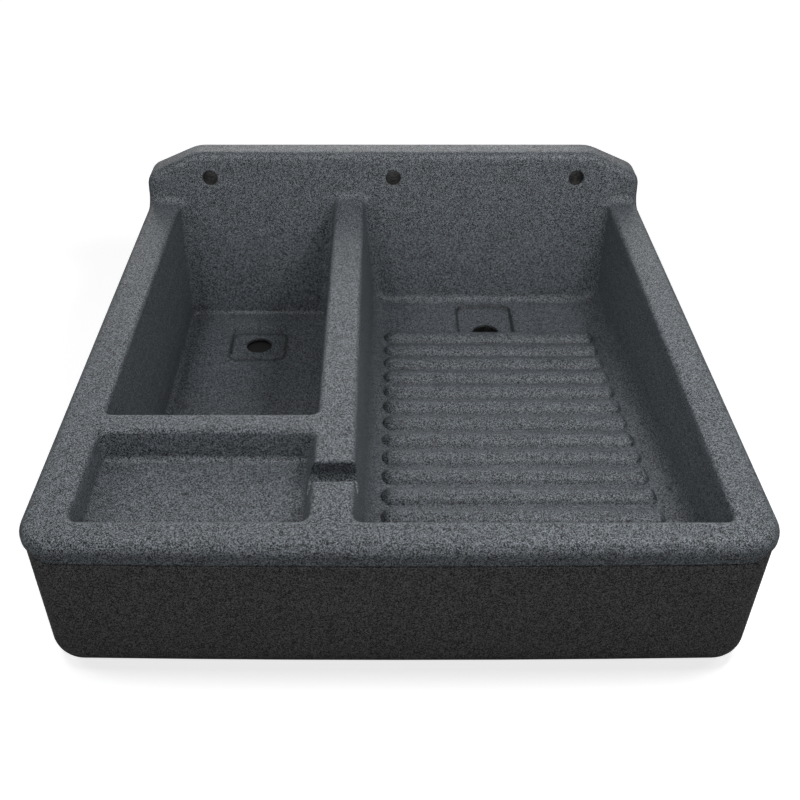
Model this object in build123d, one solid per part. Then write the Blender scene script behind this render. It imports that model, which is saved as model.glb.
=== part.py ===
from build123d import *
from math import cos, radians, sqrt, tan
import os

# Laundry sink: a double-skinned plastic moulding with a deep tank, a soap
# tray, a wash basin whose floor is a ribbed washboard, and a splashback.
# Millimetres. The origin is the middle of the footprint at the bottom.
# +X is to the right, +Y towards the wall, +Z up.

# Overall
overall_width = 800.0
overall_depth = 840.0
rim_height = 204.0
splash_rise = 76.0
wall = 4.0

# Rolled rim, with the seam under it
front_bow = 4.0
front_corner_radius = 44.0
rear_corner_radius = 14.0
outer_edge_radius = 14.5
roll_height = 22.0
roll_bottom_chamfer = 3.6
neck_inset = 4.0
seam_drop = 31.5
mouth_radius = 7.0

# Splashback, whose front face leans back and whose shoulders slope
splash_foot_depth = 65.0
splash_lean = 11.0
shoulder_run = 81.5
shoulder_fall = 35.5
shoulder_top_radius = 60.0
shoulder_side_radius = 26.0
cove_radius = 15.0
tap_hole_diameter = 24.0
tap_hole_chamfer = 1.5
tap_hole_from_side = 103.5
tap_hole_rise = 37.5
tap_sleeve_wall = 3.5

# Land around and between the basins
side_rim_left = 51.7
side_rim_right = 48.0
front_rim = 40.5
tank_width = 254.0
divider_width = 46.2
divider_ramp_length = 72.0
divider_ramp_rise = 7.5

# Drafts of the basin walls, in degrees
outer_draft = 1.8
divider_draft = 5.8
front_draft = 3.0

# Tank
tank_floor_height = 13.0
tank_corner_radius = 9.0
tank_floor_radius = 8.0

# Soap tray, in front of the tank
tray_length = 147.3
tray_wall = 32.5
tray_depth = 39.0
tray_left_draft = 5.0
tray_right_draft = 15.0
tray_front_draft = 5.0
tray_back_draft = 11.0
tray_corner_radius = 12.0
tray_floor_radius = 8.0

# Overflow notch from the tray into the wash basin
notch_width = 32.0
notch_depth = 30.0
notch_lip_radius = 3.0
notch_from_front = 76.5

# Wash basin and its washboard, whose rear edge stands before the splashback
wash_floor_height = 36.0
wash_corner_radius = 10.0
board_setback = 147.0
board_step = 7.5
board_slope = 6.4
board_cove_radius = 30.0
rib_pitch = 41.8
rib_radius = 19.0
rib_height = 9.0
rib_nose_length = 7.0
rib_rear_margin = 17.0
rib_front_margin = 50.0
rib_left_margin = 23.0
rib_right_margin = 31.0

# Drains, each in a shallow recess of its basin's floor
drain_bore = 42.0
tank_drain_setback = 128.5
tank_recess_back = 50.0
tank_recess_front = 34.0
wash_drain_setback = 122.0
wash_recess_back = 72.0
wash_recess_front = 24.5
recess_width = 92.0
recess_depth = 5.0
recess_taper = 27.0
recess_corner_radius = 9.0

# Drain sleeves between the basin floors and the casing's base
drain_sleeve_wall = 5.0
sleeve_clearance = 0.4

# Lower casing and the lap joint at the seam
casing_inset = 2.5
casing_bottom_radius = 32.0
seam_edge_chamfer = 0.8
lap_height = 12.0
lap_rise = 6.0
lap_clearance = 0.3
lap_thickness = 3.7
base_clearance = 0.8

# Largest flat that stays outside a rounded corner, as a share of its radius
corner_flat = 2.0 - sqrt(2.0)

front_y = -overall_depth / 2
back_y = overall_depth / 2
left_x = -overall_width / 2
seam_z = rim_height - seam_drop
roll_z = rim_height - roll_height
top_z = rim_height + splash_rise
tool_top_z = top_z + 40.0
splash_base_y = back_y - splash_foot_depth

tank_left = left_x + side_rim_left
tank_right = tank_left + tank_width
wash_left = tank_right + divider_width
wash_right = overall_width / 2 - side_rim_right
basin_front = front_y + front_rim
tray_back = basin_front + tray_length
tank_front = tray_back + tray_wall
divider_x = (tank_right + wash_left) / 2
tank_floor_z = tank_floor_height
wash_floor_z = wash_floor_height
tray_floor_z = rim_height - tray_depth
board_rear_y = splash_base_y - board_setback
board_length = board_rear_y - basin_front
rib_count = 1 + int((board_length - rib_rear_margin - rib_front_margin) / rib_pitch)

tank_drain_x = (tank_left + tank_right) / 2
tank_drain_y = splash_base_y - tank_drain_setback
wash_drain_x = (wash_left + wash_right) / 2
wash_drain_y = splash_base_y - wash_drain_setback


def splash_y(z, behind=0.0):
    """Y of the leaning face that the splashback and the basins share."""
    return splash_base_y + (z - rim_height) * tan(radians(splash_lean)) + behind


def board_z(y):
    """Height of the washboard's bed, which falls towards its drain."""
    rise = (board_rear_y - y) * tan(radians(board_slope))
    return wash_floor_z + board_step + rise


def drafted(edge, draft, z, towards):
    """Where a drafted wall stands at height z, from its edge at the rim."""
    return edge + towards * (rim_height - z) * tan(radians(draft))


def from_front(*points):
    """A bar through the whole sink along Y, from its outline in X and Z."""
    outline = Polyline(*[(x, 0, z) for x, z in points], close=True)
    return extrude(make_face(outline), overall_depth, both=True)


def from_side(*points):
    """A bar through the whole sink along X, from its outline in Y and Z."""
    outline = Polyline(*[(0, y, z) for y, z in points], close=True)
    return extrude(make_face(outline), overall_width, both=True)


def edges_where(shape, test):
    """Edges whose two ends and middle all pass a test."""
    found = [e for e in shape.edges() if all(test(e @ t) for t in (0, 0.5, 1))]
    return ShapeList(found)


def is_upright(edge):
    return abs((edge @ 0).Z - (edge @ 1).Z) > 20.0


def flanks(left, right, left_draft, right_draft, low, grow):
    """A bar along Y between two drafted side walls."""
    return from_front(
        (drafted(left, left_draft, low, 1) - grow, low),
        (drafted(left, left_draft, tool_top_z, 1) - grow, tool_top_z),
        (drafted(right, right_draft, tool_top_z, -1) + grow, tool_top_z),
        (drafted(right, right_draft, low, -1) + grow, low),
    )


def tank_space(grow=0.0):
    """The air in the tank, or with a wall's growth the tank's outside."""
    low = tank_floor_z - grow
    space = flanks(tank_left, tank_right, outer_draft, divider_draft, low, grow)
    space &= from_side(
        (drafted(tank_front, front_draft, low, 1) - grow, low),
        (drafted(tank_front, front_draft, tool_top_z, 1) - grow, tool_top_z),
        (splash_y(tool_top_z, grow), tool_top_z),
        (splash_y(low, grow), low),
    )
    if grow:
        return space
    front = space.edges().filter_by(is_upright).group_by(Axis.Y)[0]
    return fillet(front, tank_corner_radius)


def tray_space(grow=0.0):
    """The air in the soap tray, or the tray's outside."""
    low = tray_floor_z - grow
    space = flanks(
        tank_left, tank_right, tray_left_draft, tray_right_draft, low, grow
    )
    space &= from_side(
        (drafted(basin_front, tray_front_draft, low, 1) - grow, low),
        (drafted(basin_front, tray_front_draft, tool_top_z, 1) - grow, tool_top_z),
        (drafted(tray_back, tray_back_draft, tool_top_z, -1) + grow, tool_top_z),
        (drafted(tray_back, tray_back_draft, low, -1) + grow, low),
    )
    if grow:
        return space
    space = fillet(space.edges().filter_by(is_upright), tray_corner_radius)
    return fillet(space.edges().group_by(Axis.Z)[0], tray_floor_radius)


def wash_part(side_outline, low, grow):
    """One length of the wash basin, with coves along its floor's sides."""
    part = flanks(wash_left, wash_right, divider_draft, outer_draft, low, grow)
    part &= from_side(*side_outline)
    sides = edges_where(part, lambda p: p.Z < rim_height - 30.0)
    sides = sides.filter_by(lambda e: abs((e @ 0).Y - (e @ 1).Y) > 60.0)
    if grow:
        return chamfer(sides, corner_flat * (board_cove_radius + grow))
    return fillet(sides, board_cove_radius)


def wash_space(grow=0.0):
    """The air in the wash basin, or the basin's outside."""
    low = wash_floor_z - grow
    foot = drafted(basin_front, front_draft, board_z(basin_front), 1) - grow
    lap = board_rear_y + 12.0
    board = wash_part(
        [
            (foot, board_z(foot) - grow),
            (drafted(basin_front, front_draft, tool_top_z, 1) - grow, tool_top_z),
            (lap, tool_top_z),
            (lap, board_z(lap) - grow),
        ],
        low,
        grow,
    )
    if not grow:
        front = edges_where(
            board, lambda p: p.Y < foot + 1.0 and p.Z < tool_top_z - 1.0
        )
        board = fillet(front, wash_corner_radius)
    channel = wash_part(
        [
            (board_rear_y - grow, low),
            (board_rear_y - grow, tool_top_z),
            (splash_y(tool_top_z, grow), tool_top_z),
            (splash_y(low, grow), low),
        ],
        low,
        grow,
    )
    return board + channel


def notch_outline(grow):
    """A deep U with its two upper edges rolled over, or plain when grown."""
    half = notch_width / 2
    if grow:
        return Pos(0, -notch_depth - grow) * Rectangle(
            notch_width + 2 * grow,
            notch_depth + 2 * grow,
            align=(Align.CENTER, Align.MIN),
        )
    mouth = Rectangle(notch_width + 24.0, 20.0, align=(Align.CENTER, Align.MIN))
    sides = Rectangle(notch_width, notch_depth - half, align=(Align.CENTER, Align.MAX))
    outline = mouth + sides + Pos(0, half - notch_depth) * Circle(half)
    lips = outline.vertices().filter_by(
        lambda v: abs(v.Y) < 0.01 and abs(v.X) < half + 1.0
    )
    return fillet(lips, notch_lip_radius)


def notch_space(grow=0.0):
    """The overflow notch as a trough through the divider."""
    y = basin_front + notch_from_front
    place = Plane((divider_x, y, rim_height), x_dir=(0, 1, 0), z_dir=(1, 0, 0))
    return extrude(place * notch_outline(grow), divider_width / 2 + 16.0, both=True)


def recess_space(x, y, back, front, floor_z, grow=0.0):
    """The shallow recess around a drain, with slanted sides."""
    mouth = Rectangle(recess_width + 2 * grow, back + front + 2 * grow)
    if not grow:
        mouth = fillet(mouth.vertices(), recess_corner_radius)
    mouth = Pos(x, y + (back - front) / 2, floor_z - grow) * mouth
    dish = extrude(mouth, recess_depth, dir=(0, 0, -1), taper=recess_taper)
    return dish + extrude(mouth, grow + 3.0)


def recesses(grow=0.0):
    tank = recess_space(
        tank_drain_x, tank_drain_y, tank_recess_back, tank_recess_front,
        tank_floor_z, grow,
    )
    wash = recess_space(
        wash_drain_x, wash_drain_y, wash_recess_back, wash_recess_front,
        wash_floor_z, grow,
    )
    return tank + wash


def divider_ramp():
    """Material on the divider's rear end, rising from a crease."""
    foot = splash_y(rim_height)
    start = foot - divider_ramp_length
    end = foot + 5.0
    high = rim_height + divider_ramp_rise * (end - start) / divider_ramp_length
    outline = Polyline(
        (0, start, rim_height), (0, end, high), (0, end, rim_height - 10.0),
        (0, start, rim_height - 10.0), close=True,
    )
    ramp = extrude(make_face(outline), divider_width / 2 + 4.0, both=True)
    return Pos(divider_x, 0, 0) * ramp


def open_air():
    """Everything above the rim and in front of the splashback."""
    front = front_y - 20.0
    air = from_side(
        (front, rim_height),
        (splash_y(rim_height), rim_height),
        (splash_y(tool_top_z), tool_top_z),
        (front, tool_top_z),
    )
    return air - divider_ramp()


def on_splash(p):
    return abs(p.Y - splash_y(p.Z)) < 0.05


def basin_tool():
    """All the air above and in the basins, with every edge rounded."""
    tool = open_air() + tank_space() + tray_space() + wash_space()
    inner = edges_where(
        tool,
        lambda p: rim_height - 0.01 < p.Z < rim_height + divider_ramp_rise + 2.0
        and tank_left - 3.0 < p.X < wash_right + 3.0
        and p.Y > basin_front - 1.0,
    )
    mouths = inner.filter_by(
        lambda e: not all(on_splash(e @ t) for t in (0, 0.5, 1))
        and not (abs((e @ 0).Y - (e @ 1).Y) < 0.01 and (e @ 0).Y > 0.0)
    )
    tool = fillet(mouths, mouth_radius)
    rear = edges_where(
        tool,
        lambda p: on_splash(p)
        and p.Z < rim_height + divider_ramp_rise + 2.0,
    ).filter_by(lambda e: e.center().Z > tank_floor_z + 1.0)
    tool = fillet(rear, cove_radius)
    floor = edges_where(tool, lambda p: abs(p.Z - tank_floor_z) < 0.01)
    tool = fillet(floor, tank_floor_radius)
    return tool + notch_space()


def sharp_plan(inset):
    """The sink from above, drawn in by an inset. Its front bows outwards."""
    half = overall_width / 2 - inset
    front = front_y + inset
    rear = back_y - inset
    bow = ThreePointArc((-half, front + front_bow), (0, front), (half, front + front_bow))
    rest = Polyline(
        (half, front + front_bow), (half, rear), (-half, rear), (-half, front + front_bow)
    )
    return make_face(Wire(bow.edges() + rest.edges()))


def plan(inset):
    outline = sharp_plan(inset)
    corners = outline.vertices().group_by(Axis.Y)[0]
    return fillet(corners, front_corner_radius - inset)


def prism(inset, low, high):
    """A block of the plan's outline, with its rear corners rounded too."""
    outline = plan(inset)
    rear = outline.vertices().group_by(Axis.Y)[-1]
    outline = fillet(rear, rear_corner_radius - inset)
    return extrude(Pos(0, 0, low) * outline, high - low)


def plain_prism(inset, low, high):
    """The same block for the air inside, with its corners cut off straight."""
    outline = sharp_plan(inset)
    outline = chamfer(outline.vertices().group_by(Axis.Y)[0], front_corner_radius - inset)
    rear = outline.vertices().group_by(Axis.Y)[-1]
    outline = chamfer(rear, max(rear_corner_radius - inset, wall / 2))
    return extrude(Pos(0, 0, low) * outline, high - low)


def splash_outline(inset, low):
    """The splashback from the front: a flat top and two sloping shoulders."""
    half = overall_width / 2
    shoulder = half - shoulder_run
    sharp = Polyline(
        (-half, low - 60.0), (-half, top_z - shoulder_fall), (-shoulder, top_z),
        (shoulder, top_z), (half, top_z - shoulder_fall), (half, low - 60.0),
        close=True,
    )
    outline = make_face(sharp)
    rows = outline.vertices().group_by(Axis.Y)
    outline = fillet(rows[-1], shoulder_top_radius)
    sides = outline.vertices().filter_by(
        lambda v: abs(v.Y - top_z + shoulder_fall) < 0.01
    )
    outline = fillet(sides, shoulder_side_radius)
    if inset:
        outline = offset(outline, -inset)
    return outline & Pos(0, low) * Rectangle(
        2 * overall_width, 2 * top_z, align=(Align.CENTER, Align.MIN)
    )


def upper_block(inset, low):
    """Rim and splashback in one block, its rear edges rounded or, inside, cut."""
    block = extrude(Pos(0, 0, low) * plan(inset), top_z - inset - low)
    place = Plane((0, 0, 0), x_dir=(1, 0, 0), z_dir=(0, -1, 0))
    elevation = splash_outline(inset, low)
    block &= extrude(place * elevation, overall_depth, both=True)
    rear = edges_where(block, lambda p: p.Y > back_y - inset - 0.01)
    rear = rear.filter_by(lambda e: e.center().Z > low + 0.01)
    if inset:
        return chamfer(rear, rear_corner_radius - inset)
    return fillet(rear, rear_corner_radius)


def below_rim(shape):
    limit = rim_height - 1.0
    return shape & from_side(
        (front_y, -1.0), (front_y, limit), (back_y, limit), (back_y, -1.0)
    )


def basin_outsides(grow):
    """The outer skins of the basins, which hang inside the casing."""
    skins = tank_space(grow) + tray_space(grow) + wash_space(grow)
    return below_rim(skins + notch_space(grow)) + recesses(grow)


def outer_top_edges(body):
    """The rim's outer edge, carried on up and over the splashback's front."""
    outline = plan(0.0).face().outer_wire()

    def on_edge(p):
        on_crest = on_splash(p) and p.Z > rim_height + splash_rise / 2
        return on_crest or outline.distance_to(Vertex(p.X, p.Y, 0)) < 0.01

    edges = edges_where(body, lambda p: p.Z > rim_height - 0.01 and on_edge(p))
    return edges.filter_by(lambda e: e.center().Y < splash_y(e.center().Z) + 0.05)


def rib_nose(towards):
    """The tapering end of a rib, which carries on down below the bed."""
    depth = rib_height + wall / 2
    return Cone(
        rib_radius,
        rib_radius - depth,
        depth * rib_nose_length / rib_height,
        rotation=(0, 90 * towards, 0),
        align=(Align.CENTER, Align.CENTER, Align.MIN),
    )


def rib(number):
    """One rib of the washboard: a sunk bar with tapering noses."""
    y = board_rear_y - rib_rear_margin - number * rib_pitch
    bed = board_z(y)
    left = drafted(wash_left, divider_draft, bed, 1) + rib_left_margin
    right = drafted(wash_right, outer_draft, bed, -1) - rib_right_margin
    left += rib_nose_length
    right -= rib_nose_length
    centre = bed + rib_height - rib_radius
    bar = Cylinder(rib_radius, right - left, rotation=(0, 90, 0))
    bar = Pos((left + right) / 2, y, centre) * bar
    bar += Pos(left, y, centre) * rib_nose(-1)
    bar += Pos(right, y, centre) * rib_nose(1)
    front = y - rib_radius - 1.0
    rear = y + rib_radius + 1.0
    sink = wall / 2
    return bar & from_side(
        (front, board_z(front) - sink),
        (front, bed + rib_radius),
        (rear, bed + rib_radius),
        (rear, board_z(rear) - sink),
    )


def upright_bar(x, y, radius, low, high):
    bar = Cylinder(radius, high - low, align=(Align.CENTER, Align.CENTER, Align.MIN))
    return Pos(x, y, low) * bar


def drain_bars(radius):
    tank = upright_bar(tank_drain_x, tank_drain_y, radius, -1.0, tank_floor_z)
    wash = upright_bar(wash_drain_x, wash_drain_y, radius, -1.0, wash_floor_z)
    return tank + wash


def tap_bar(number, radius):
    """A bar along Y through the splashback at one of the tap holes."""
    x = (number - 1) * (overall_width / 2 - tap_hole_from_side)
    bar = Cylinder(radius, overall_depth / 4, rotation=(90, 0, 0))
    return Pos(x, back_y - overall_depth / 16, rim_height + tap_hole_rise) * bar


def splash_hollow():
    """The air between the splashback's skins."""
    low = rim_height - roll_height / 2
    behind = upper_block(wall, low)
    behind -= from_side(
        (front_y - 1.0, low - 1.0),
        (splash_y(low - 1.0, wall), low - 1.0),
        (splash_y(top_z, wall), top_z),
        (front_y - 1.0, top_z),
    )
    front = edges_where(
        behind, lambda p: abs(p.Y - splash_y(p.Z, wall)) < 0.05 and p.Z > low + 0.1
    ).filter_by(lambda e: e.center().Z > low + 1.0)
    return chamfer(front, outer_edge_radius - wall)


def hollow_space():
    """The air between the skins of the upper moulding, open underneath."""
    lap_inner = casing_inset + wall + lap_clearance + lap_thickness
    lap_top = seam_z + lap_rise
    roll = plain_prism(wall, roll_z + wall, rim_height - wall)
    roll = chamfer(roll.edges().group_by(Axis.Z)[-1], outer_edge_radius - wall)
    hollow = plain_prism(lap_inner, seam_z - lap_height - 1.0, lap_top)
    hollow += plain_prism(neck_inset + wall, lap_top - 1.0, roll_z + wall + 1.0)
    return hollow + roll + splash_hollow()


def make_basin_shell():
    """Upper moulding: rim, splashback, basins and washboard in one skin."""
    block = upper_block(0.0, roll_z)
    block = chamfer(block.edges().group_by(Axis.Z)[0], roll_bottom_chamfer)
    block += prism(neck_inset, seam_z, roll_z + roll_height / 2)
    lip_inset = casing_inset + wall + lap_clearance
    block += prism(lip_inset, seam_z - lap_height, seam_z + 1.0)
    skins = basin_outsides(wall)
    block = block + skins - basin_tool()
    block = fillet(outer_top_edges(block), outer_edge_radius)
    shell = block - (hollow_space() - skins)
    for number in range(rib_count):
        shell += rib(number)
    shell -= recesses()
    shell -= drain_bars(drain_bore / 2)
    for number in range(3):
        shell -= tap_bar(number, tap_hole_diameter / 2)
    mouths = shell.edges().filter_by(GeomType.ELLIPSE)
    mouths = mouths.filter_by(lambda e: on_splash(e @ 0) and e.center().Z > rim_height + 1.0)
    return chamfer(mouths, tap_hole_chamfer)


def casing_outside():
    """The casing's outline, with its bottom and rear edges rounded."""
    block = extrude(plan(casing_inset), seam_z)
    bottom = block.edges().group_by(Axis.Z)[0]
    bottom = bottom.filter_by(lambda e: e.center().Y < back_y - casing_inset - 0.01)
    block = fillet(bottom, casing_bottom_radius)
    rear = edges_where(block, lambda p: p.Y > back_y - casing_inset - 0.01)
    rear = rear.filter_by(lambda e: e.center().Z < seam_z - 0.01)
    block = fillet(rear, rear_corner_radius - casing_inset)
    return chamfer(block.edges().group_by(Axis.Z)[-1], seam_edge_chamfer)


def casing_hollow():
    """The air in the casing: it follows the lap, and its bottom is bevelled."""
    inset = casing_inset + wall
    side = overall_width / 2 - inset
    front = front_y + inset
    bevel = casing_bottom_radius
    block = prism(inset, wall, seam_z)
    block &= from_front(
        (-side, wall + bevel), (-side, seam_z), (side, seam_z),
        (side, wall + bevel), (side - bevel, wall), (bevel - side, wall),
    )
    return block & from_side(
        (front, wall + bevel), (front, seam_z), (back_y, seam_z),
        (back_y, wall), (front + bevel, wall),
    )


def make_outer_casing():
    """Lower moulding: apron, back and base, open at the top."""
    casing = casing_outside() - casing_hollow()
    gap = wall + base_clearance
    casing -= basin_outsides(gap) & from_side(
        (front_y, -1.0), (front_y, seam_z / 2), (back_y, seam_z / 2), (back_y, -1.0)
    )
    sleeve = drain_bore / 2 + drain_sleeve_wall + sleeve_clearance
    return casing - drain_bars(sleeve)


def make_drain_sleeve(x, y, floor_z):
    """Tube from the underside of a basin's recess down through the base."""
    high = floor_z - recess_depth - wall
    outside = upright_bar(x, y, drain_bore / 2 + drain_sleeve_wall, 0.0, high)
    return outside - upright_bar(x, y, drain_bore / 2, -1.0, high + 1.0)


def make_tap_sleeve(number):
    """Tube between the splashback's skins that lines one tap hole."""
    radius = tap_hole_diameter / 2
    sleeve = tap_bar(number, radius + tap_sleeve_wall) - tap_bar(number, radius)
    return sleeve & splash_hollow()


nodes = {
    "basin_shell": make_basin_shell(),
    "outer_casing": make_outer_casing(),
    "tank_drain_sleeve": make_drain_sleeve(tank_drain_x, tank_drain_y, tank_floor_z),
    "wash_drain_sleeve": make_drain_sleeve(wash_drain_x, wash_drain_y, wash_floor_z),
    "tap_sleeve_left": make_tap_sleeve(0),
    "tap_sleeve_middle": make_tap_sleeve(1),
    "tap_sleeve_right": make_tap_sleeve(2),
}

os.makedirs("parts", exist_ok=True)
for name, shape in nodes.items():
    export_step(shape, f"parts/{name}.step")
    box = shape.bounding_box()
    print(name, len(shape.solids()), "solid, valid", shape.is_valid, box.min, box.max)
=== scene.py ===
from math import radians, tan
import bpy
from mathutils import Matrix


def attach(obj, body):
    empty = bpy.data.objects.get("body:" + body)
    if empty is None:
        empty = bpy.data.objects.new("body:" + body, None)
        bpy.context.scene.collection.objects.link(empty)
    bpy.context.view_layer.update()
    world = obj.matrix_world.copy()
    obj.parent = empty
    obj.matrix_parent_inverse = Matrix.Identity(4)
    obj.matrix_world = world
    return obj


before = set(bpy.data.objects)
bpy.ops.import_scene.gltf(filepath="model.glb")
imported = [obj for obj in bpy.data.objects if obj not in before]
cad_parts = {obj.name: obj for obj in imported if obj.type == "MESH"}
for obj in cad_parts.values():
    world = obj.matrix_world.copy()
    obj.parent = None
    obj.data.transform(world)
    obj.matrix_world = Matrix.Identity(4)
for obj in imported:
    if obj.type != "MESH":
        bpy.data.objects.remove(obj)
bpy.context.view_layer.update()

camera_pitch = 37.69
camera_data = bpy.data.cameras.new("front_camera")
camera_data.lens = 44.1
camera_data.sensor_width = 36.0
camera_data.shift_x = 0.0226
camera = bpy.data.objects.new("front_camera", camera_data)
camera.location = (-0.0183, -1.112, 0.928)
camera.rotation_euler = (radians(90.0 - camera_pitch), 0.0, 0.0)
bpy.context.scene.collection.objects.link(camera)
bpy.context.scene.camera = camera


# Lower casing
# The apron, back and base: one half of a hollow moulding in dark polyethylene
# with pale and black granules through it, lap-jointed under the rolled rim.
def add_node(tree, kind, wires=(), values=(), **settings):
    """One node of a node tree, with what feeds its sockets and their numbers."""
    node = tree.nodes.new(kind)
    for setting, value in settings.items():
        setattr(node, setting, value)
    for socket, value in dict(values).items():
        node.inputs[socket].default_value = value
    for socket, source in dict(wires).items():
        tree.links.new(source, node.inputs[socket])
    return node


stir_scale = 0.8
stir_reach = 0.6
wide_scale = 0.52
wide_share = 0.4


def granule_shade(tree, place, grain):
    """A grey for each granule: small granules mixed with some twice as wide.

    A fine noise stirs the cells first, so that no granule has straight sides.
    """
    stir = add_node(
        tree, "ShaderNodeTexNoise", {"Vector": place},
        {"Scale": grain * stir_scale, "Detail": 1.0},
    )
    stirred = add_node(
        tree, "ShaderNodeMixRGB", {"Color1": place, "Color2": stir.outputs["Color"]},
        {"Fac": stir_reach / grain}, blend_type="LINEAR_LIGHT",
    ).outputs["Color"]
    small = add_node(tree, "ShaderNodeTexVoronoi", {"Vector": stirred}, {"Scale": grain})
    wide = add_node(
        tree, "ShaderNodeTexVoronoi", {"Vector": stirred}, {"Scale": grain * wide_scale},
    )
    mixed = add_node(
        tree, "ShaderNodeMixRGB",
        {"Color1": small.outputs["Color"], "Color2": wide.outputs["Color"]},
        {"Fac": wide_share},
    )
    return add_node(
        tree, "ShaderNodeSeparateColor", {"Color": mixed.outputs["Color"]},
    ).outputs["Red"]


black_shade = 0.3
mass_shade = 0.5
pale_shade = 0.7


def granule_colour(tree, shade, body, tones):
    """The body colour times a tone: for black granules, the mass and pale ones."""
    tint = add_node(tree, "ShaderNodeValToRGB", {"Fac": shade})
    stops = tint.color_ramp.elements
    stops.new(mass_shade)
    for stop, position, tone in zip(stops, (black_shade, mass_shade, pale_shade), tones):
        stop.position = position
        stop.color = (*[channel * tone for channel in body], 1.0)
    return tint.outputs["Color"]


crease_reach = 0.035
shut_in = 0.25
crease_share = 0.65
open_share = 1.03


def painted_shade_share(tree, place, shade_by_height):
    """How much of the colour shows, with painted shade: less in creases, where ambient occlusion
    finds them, and painted shade by height.

    The painted shade by height runs from its first height to its second, and its last two numbers
    are the shares that show there.
    """
    # Painted shade: ambient occlusion darkens the colour in creases and corners, where shade
    # falls.
    creases = add_node(
        tree, "ShaderNodeAmbientOcclusion", values={"Distance": crease_reach}, samples=8,
    )
    crease_shade = add_node(
        tree, "ShaderNodeMapRange", {"Value": creases.outputs["AO"]},
        {"From Min": shut_in, "To Min": crease_share, "To Max": open_share},
    )
    # Painted shade by height: the colour's share changes with height, the way the light falls.
    height = add_node(tree, "ShaderNodeSeparateXYZ", {"Vector": place})
    height_shade = add_node(
        tree, "ShaderNodeMapRange", {"Value": height.outputs["Z"]},
        zip(("From Min", "From Max", "To Min", "To Max"), shade_by_height),
        interpolation_type="SMOOTHSTEP",
    )
    return add_node(
        tree, "ShaderNodeMath",
        {0: crease_shade.outputs["Result"], 1: height_shade.outputs["Result"]},
        operation="MULTIPLY",
    ).outputs["Value"]


shine = 0.38
peel_scale = 0.9
peel_height = 0.0006
worn_edge = 0.0025


def granite_plastic(name, body, tones, grain, gloss, relief, shade_by_height):
    """Dark plastic with granules through it, grain of them in a metre.

    tones are for black granules, the mass and pale ones; gloss is the roughness
    of the pale ones and the black ones; relief is the depth of its fine peel;
    the last argument sets the painted shade by height.
    """
    material = bpy.data.materials.new(name)
    material.use_nodes = True
    tree = material.node_tree
    shader = tree.nodes["Principled BSDF"]
    shader.inputs["Specular IOR Level"].default_value = shine
    place = add_node(tree, "ShaderNodeTexCoord").outputs["Object"]
    shade = granule_shade(tree, place, grain)

    # Painted shade: the granule colour times a share that is lower in creases and changes with
    # height.
    shaded_colour = add_node(
        tree, "ShaderNodeVectorMath",
        {0: granule_colour(tree, shade, body, tones), "Scale": painted_shade_share(tree, place, shade_by_height)},
        operation="SCALE",
    )
    tree.links.new(shaded_colour.outputs["Vector"], shader.inputs["Base Color"])

    dulled = add_node(
        tree, "ShaderNodeMapRange", {"Value": shade},
        {"From Min": black_shade, "From Max": pale_shade,
         "To Min": gloss[1], "To Max": gloss[0]},
    )
    tree.links.new(dulled.outputs["Result"], shader.inputs["Roughness"])

    peel = add_node(
        tree, "ShaderNodeTexNoise", {"Vector": place},
        {"Scale": grain * peel_scale, "Detail": 2.0},
    )
    worn = add_node(tree, "ShaderNodeBevel", values={"Radius": worn_edge}, samples=6)
    bump = add_node(
        tree, "ShaderNodeBump", {"Normal": worn.outputs["Normal"], "Height": peel.outputs["Fac"]},
        {"Strength": relief, "Distance": peel_height},
    )
    tree.links.new(bump.outputs["Normal"], shader.inputs["Normal"])
    return material


def finish_node(name, material):
    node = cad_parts[name]
    node.data.materials.clear()
    node.data.materials.append(material)


# Painted shade: the casing is a darker copy of the shell's granite, standing for the apron's
# shade, and darker still towards the bottom.
casing_granite_shaded = granite_plastic(
    "casing_granite_shaded", body=(0.0425, 0.0415, 0.0425), tones=(0.03, 0.775, 4.3),
    grain=1600.0, gloss=(0.32, 0.7), relief=0.55, shade_by_height=(0.0, 0.12, 0.8, 0.98),
)
finish_node("outer_casing", casing_granite_shaded)

# Basin shell
# The rolled rim, splashback, tank, soap tray, wash basin and washboard: the
# upper half of the same moulding, a little more worn and so smoother.
# Painted shade: darker in creases, and a touch darker at rim height than lower down.
shell_granite = granite_plastic(
    "shell_granite", body=(0.068, 0.0755, 0.083), tones=(0.03, 0.76, 4.52),
    grain=1600.0, gloss=(0.26, 0.62), relief=0.55, shade_by_height=(0.15, 0.202, 0.96, 0.94),
)
finish_node("basin_shell", shell_granite)

# Painted shade: a darker band inside the edge of each drain recess, where shade falls at its
# step.
recess_corner = 0.015
shade_band_height = 0.007
shade_band_inset = 0.001
shade_band_solid = 0.001
shade_band_fade = 0.0052
shade_band_share = 0.55
tank_recess = {"centre": (-0.2213, 0.2185, 0.011), "half": (0.046, 0.042)}
wash_recess = {"centre": (0.15195, 0.25675, 0.034), "half": (0.046, 0.04825)}


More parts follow.
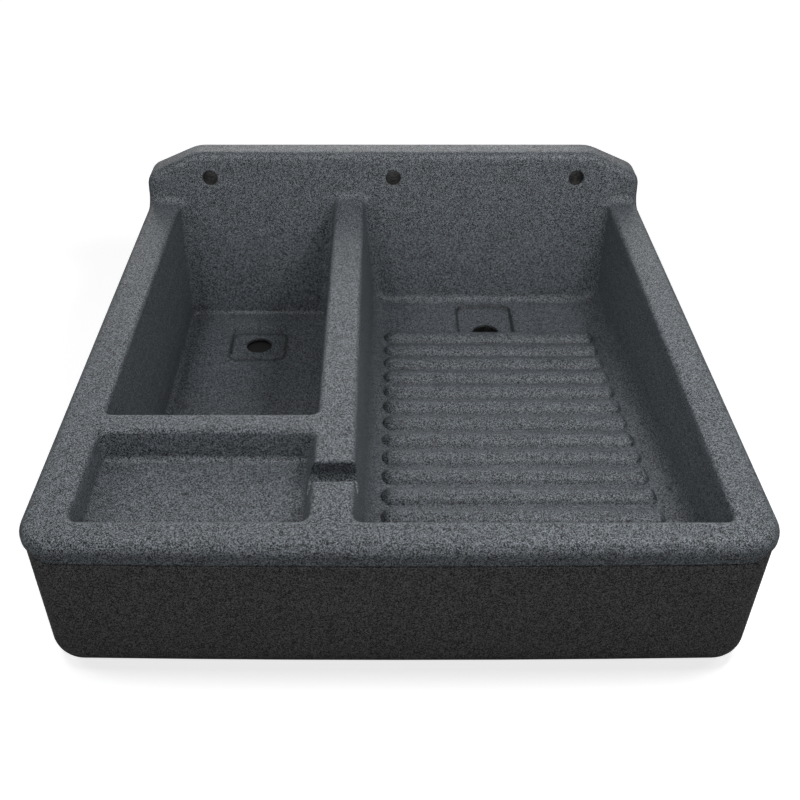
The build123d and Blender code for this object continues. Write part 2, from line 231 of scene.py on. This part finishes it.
def shade_recess_edge(material, centre, half):
    """Painted shade: a darker band along the sloping edge of a drain's recess.

    Its band follows the recess's rounded outline, a little way inside it.
    """
    tree = material.node_tree
    colour = tree.nodes["Principled BSDF"].inputs["Base Color"]
    unshaded_colour = colour.links[0].from_socket
    core = (half[0] - recess_corner, half[1] - recess_corner, shade_band_height)
    nothing = (0.0, 0.0, 0.0)
    reach = add_node(tree, "ShaderNodeTexCoord").outputs["Object"]
    for operation, amount in (
        ("SUBTRACT", centre), ("ABSOLUTE", nothing), ("SUBTRACT", core), ("MAXIMUM", nothing),
    ):
        reach = add_node(
            tree, "ShaderNodeVectorMath", {0: reach}, {1: amount}, operation=operation,
        ).outputs["Vector"]
    away = add_node(tree, "ShaderNodeVectorMath", {0: reach}, operation="LENGTH")
    off_edge = add_node(
        tree, "ShaderNodeMath", {0: away.outputs["Value"]}, {1: recess_corner - shade_band_inset},
        operation="SUBTRACT",
    )
    either_side = add_node(
        tree, "ShaderNodeMath", {0: off_edge.outputs["Value"]}, operation="ABSOLUTE",
    )
    band = add_node(
        tree, "ShaderNodeMapRange", {"Value": either_side.outputs["Value"]},
        {"From Min": shade_band_solid, "From Max": shade_band_fade, "To Min": shade_band_share},
        interpolation_type="SMOOTHSTEP",
    )
    shaded_colour = add_node(
        tree, "ShaderNodeVectorMath", {0: unshaded_colour, "Scale": band.outputs["Result"]},
        operation="SCALE",
    )
    tree.links.new(shaded_colour.outputs["Vector"], colour)


# Painted shade along the edges of both drain recesses.
shade_recess_edge(shell_granite, **tank_recess)
shade_recess_edge(shell_granite, **wash_recess)

# Rib ends
# Round noses that close the washboard's ribs at both sides, moulded in one
# with the bed. Each is slipped over the end of its solid rib.
import bmesh
from mathutils import Matrix, Vector

rib_count = 13
rib_pitch = 0.0418
rib_round = 0.0189
rib_height = 0.009
rear_rib_y = 0.191
bed_rise = tan(radians(6.4))
bed_edge_z = 0.0435
first_rib_in = 0.017
rear_bed_z = bed_edge_z + first_rib_in * bed_rise
rim_z = 0.204
left_wall_x = -0.0481
left_wall_lean = tan(radians(5.8))
left_gap = 0.030
left_reach = 0.0165
right_wall_x = 0.352
right_wall_lean = -tan(radians(1.8))
right_gap = 0.038
right_reach = 0.013
overlap = 0.001
skin = 0.003
nose_sides = 40


def cut_off(nose, point, outwards):
    """Take away what lies beyond a plane and close the cut."""
    cut = bmesh.ops.bisect_plane(
        nose, geom=nose.verts[:] + nose.edges[:] + nose.faces[:], dist=1e-6,
        plane_co=point, plane_no=outwards, clear_outer=True,
    )
    edges = [item for item in cut["geom_cut"] if isinstance(item, bmesh.types.BMEdge)]
    bmesh.ops.edgenet_fill(nose, edges=edges)


def rib_noses(name, end, lean, towards, reach):
    """One row of noses: each an egg, cut off under the bed and inside the rib."""
    row = bmesh.new()
    for number in range(rib_count):
        y = rear_rib_y - number * rib_pitch
        bed = rear_bed_z + number * rib_pitch * bed_rise
        x = end + (rim_z - bed) * lean
        nose = bmesh.new()
        bmesh.ops.create_uvsphere(nose, u_segments=nose_sides, v_segments=nose_sides, radius=1.0)
        seat = Matrix.Translation((x, y, bed + rib_height - rib_round))
        size = Matrix.Diagonal((reach, rib_round, rib_round, 1.0))
        bmesh.ops.transform(nose, matrix=seat @ size, verts=nose.verts)
        cut_off(nose, Vector((x - towards * overlap, y, bed)), Vector((-towards, 0.0, 0.0)))
        cut_off(nose, Vector((x, y, bed - skin)), Vector((0.0, -bed_rise, -1.0)))
        scratch = bpy.data.meshes.new("nose")
        nose.to_mesh(scratch)
        nose.free()
        row.from_mesh(scratch)
        bpy.data.meshes.remove(scratch)
    bmesh.ops.recalc_face_normals(row, faces=row.faces)
    for face in row.faces:
        face.smooth = len(face.verts) < 5
    mesh = bpy.data.meshes.new(name)
    row.to_mesh(mesh)
    row.free()
    mesh.materials.append(shell_granite)
    noses = bpy.data.objects.new(name, mesh)
    bpy.context.scene.collection.objects.link(noses)
    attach(noses, "root")


rib_noses("rib_ends_left", left_wall_x + left_gap, left_wall_lean, -1, left_reach)
rib_noses("rib_ends_right", right_wall_x - right_gap, right_wall_lean, 1, right_reach)

# Drain sleeves and tap sleeves
# Short tubes that line the holes through the hollow moulding, in the same
# # plastic with fewer granules, left rough where the drill went through. Their
# # colour is painted far darker than the shell's, as the shade inside the holes.
sleeve_plastic = granite_plastic(
    "sleeve_plastic", body=(0.018, 0.017, 0.016), tones=(0.03, 0.925, 2.1),
    grain=400.0, gloss=(0.7, 0.85), relief=0.3, shade_by_height=(0.0, 0.1, 0.9, 1.0),
)
for name in ("tank_drain_sleeve", "wash_drain_sleeve", "tap_sleeve_left",
             "tap_sleeve_middle", "tap_sleeve_right"):
    finish_node(name, sleeve_plastic)

# Floor
# A plain pale studio floor, just under the base, that keeps the sink's shadow.
# To the camera it whitens with distance; to the sink it throws back little light.
floor_size = 12.0
floor_z = -0.0005
floor_grey = (0.15, 0.15, 0.15, 1.0)
near_glow = 0.72
white_from = 0.6
white_by = 2.4
white = (1.0, 1.0, 1.0, 1.0)

bpy.ops.mesh.primitive_plane_add(size=floor_size, location=(0.0, 0.0, floor_z))
floor = bpy.context.object
floor.name = "studio_floor"
floor_paint = bpy.data.materials.new("studio_floor")
floor_paint.use_nodes = True
floor_tree = floor_paint.node_tree
dull = floor_tree.nodes["Principled BSDF"]
dull.inputs["Base Color"].default_value = floor_grey
dull.inputs["Roughness"].default_value = 0.9
from_middle = add_node(
    floor_tree, "ShaderNodeVectorMath",
    {0: add_node(floor_tree, "ShaderNodeTexCoord").outputs["Object"]}, operation="LENGTH",
)
paler = add_node(
    floor_tree, "ShaderNodeMapRange", {"Value": from_middle.outputs["Value"]},
    {"From Min": white_from, "From Max": white_by, "To Min": near_glow, "To Max": 1.0},
    interpolation_type="SMOOTHSTEP",
)
glow = add_node(
    floor_tree, "ShaderNodeEmission", {"Strength": paler.outputs["Result"]}, {"Color": white},
)
shadowed = add_node(floor_tree, "ShaderNodeBsdfDiffuse", values={"Color": (0.7, 0.7, 0.7, 1.0)})
pale = add_node(
    floor_tree, "ShaderNodeAddShader", {0: shadowed.outputs["BSDF"], 1: glow.outputs["Emission"]},
)
floor_ray = add_node(floor_tree, "ShaderNodeLightPath")
floor_look = add_node(
    floor_tree, "ShaderNodeMixShader",
    {"Fac": floor_ray.outputs["Is Camera Ray"],
     1: dull.outputs["BSDF"], 2: pale.outputs["Shader"]},
)
floor_tree.links.new(
    floor_look.outputs["Shader"], floor_tree.nodes["Material Output"].inputs["Surface"],
)
floor.data.materials.append(floor_paint)

# Painted shadow under the sink
# # A dark sheet, smaller than the base and flat on the floor, that stands for the
# # shade under the sink. It shows only through the two drain holes, where the white floor would
# otherwise be seen.
shadow_sheet_size = 0.6
shadow_sheet_place = (0.0, 0.03, -0.0003)

bpy.ops.mesh.primitive_plane_add(size=shadow_sheet_size, location=shadow_sheet_place)
shadow_sheet = bpy.context.object
shadow_sheet.name = "under_sink_shadow"
shadow_paint = bpy.data.materials.new("under_sink_shadow")
shadow_paint.use_nodes = True
shadow_bsdf = shadow_paint.node_tree.nodes["Principled BSDF"]
shadow_bsdf.inputs["Base Color"].default_value = (0.02, 0.02, 0.02, 1.0)
shadow_sheet.data.materials.append(shadow_paint)

# Studio light
# Six soft lamps round the sink: two high in front, one low on each side, and a
# broad one in front and behind. Glossy plastic also mirrors a bright rear wall.
lamp_target = Vector((0.0, 0.0, 0.1))
room_light = 0.02
mirror_front = 0.22
mirror_rear = 1.5
mirror_from = 0.6


def soft_lamp(name, place, size, power):
    data = bpy.data.lights.new(name, "AREA")
    data.shape = "SQUARE"
    data.size = size
    data.energy = power
    lamp = bpy.data.objects.new(name, data)
    lamp.location = place
    lamp.rotation_euler = (lamp_target - Vector(place)).to_track_quat("-Z", "Y").to_euler()
    bpy.context.scene.collection.objects.link(lamp)


soft_lamp("left_lamp", (-0.6, -0.3, 1.43), size=0.3, power=4.8)
soft_lamp("right_lamp", (0.557, -0.28, 1.17), size=0.3, power=5.9)
soft_lamp("left_fill", (-1.3, -0.25, 1.0), size=0.4, power=2.6)
soft_lamp("right_fill", (1.3, -0.25, 1.0), size=0.4, power=2.4)
soft_lamp("front_fill", (0.0, -2.0, 0.7), size=1.5, power=9.5)
soft_lamp("back_fill", (0.0, 2.0, 0.9), size=1.5, power=7.5)

room = bpy.data.worlds.new("studio_room")
bpy.context.scene.world = room
room.use_nodes = True
room_tree = room.node_tree
plain = room_tree.nodes["Background"]
plain.inputs["Color"].default_value = white
plain.inputs["Strength"].default_value = room_light
around = add_node(room_tree, "ShaderNodeTexCoord")
facing = add_node(room_tree, "ShaderNodeSeparateXYZ", {"Vector": around.outputs["Generated"]})
rear_wall = add_node(
    room_tree, "ShaderNodeMapRange", {"Value": facing.outputs["Y"]},
    {"From Min": mirror_from, "To Min": mirror_front, "To Max": mirror_rear},
)
walls = add_node(
    room_tree, "ShaderNodeBackground", {"Strength": rear_wall.outputs["Result"]},
    {"Color": white},
)
backdrop = add_node(
    room_tree, "ShaderNodeBackground", values={"Color": white, "Strength": 1.0},
)
room_ray = add_node(room_tree, "ShaderNodeLightPath")
mirrored = add_node(
    room_tree, "ShaderNodeMath",
    {0: room_ray.outputs["Is Glossy Ray"], 1: room_ray.outputs["Is Transmission Ray"]},
    operation="MAXIMUM",
)
for_sink = add_node(
    room_tree, "ShaderNodeMixShader",
    {"Fac": mirrored.outputs["Value"],
     1: plain.outputs["Background"], 2: walls.outputs["Background"]},
)
for_camera = add_node(
    room_tree, "ShaderNodeMixShader",
    {"Fac": room_ray.outputs["Is Camera Ray"],
     1: for_sink.outputs["Shader"], 2: backdrop.outputs["Background"]},
)
room_tree.links.new(
    for_camera.outputs["Shader"], room_tree.nodes["World Output"].inputs["Surface"],
)

bpy.context.scene.view_settings.view_transform = "Standard"
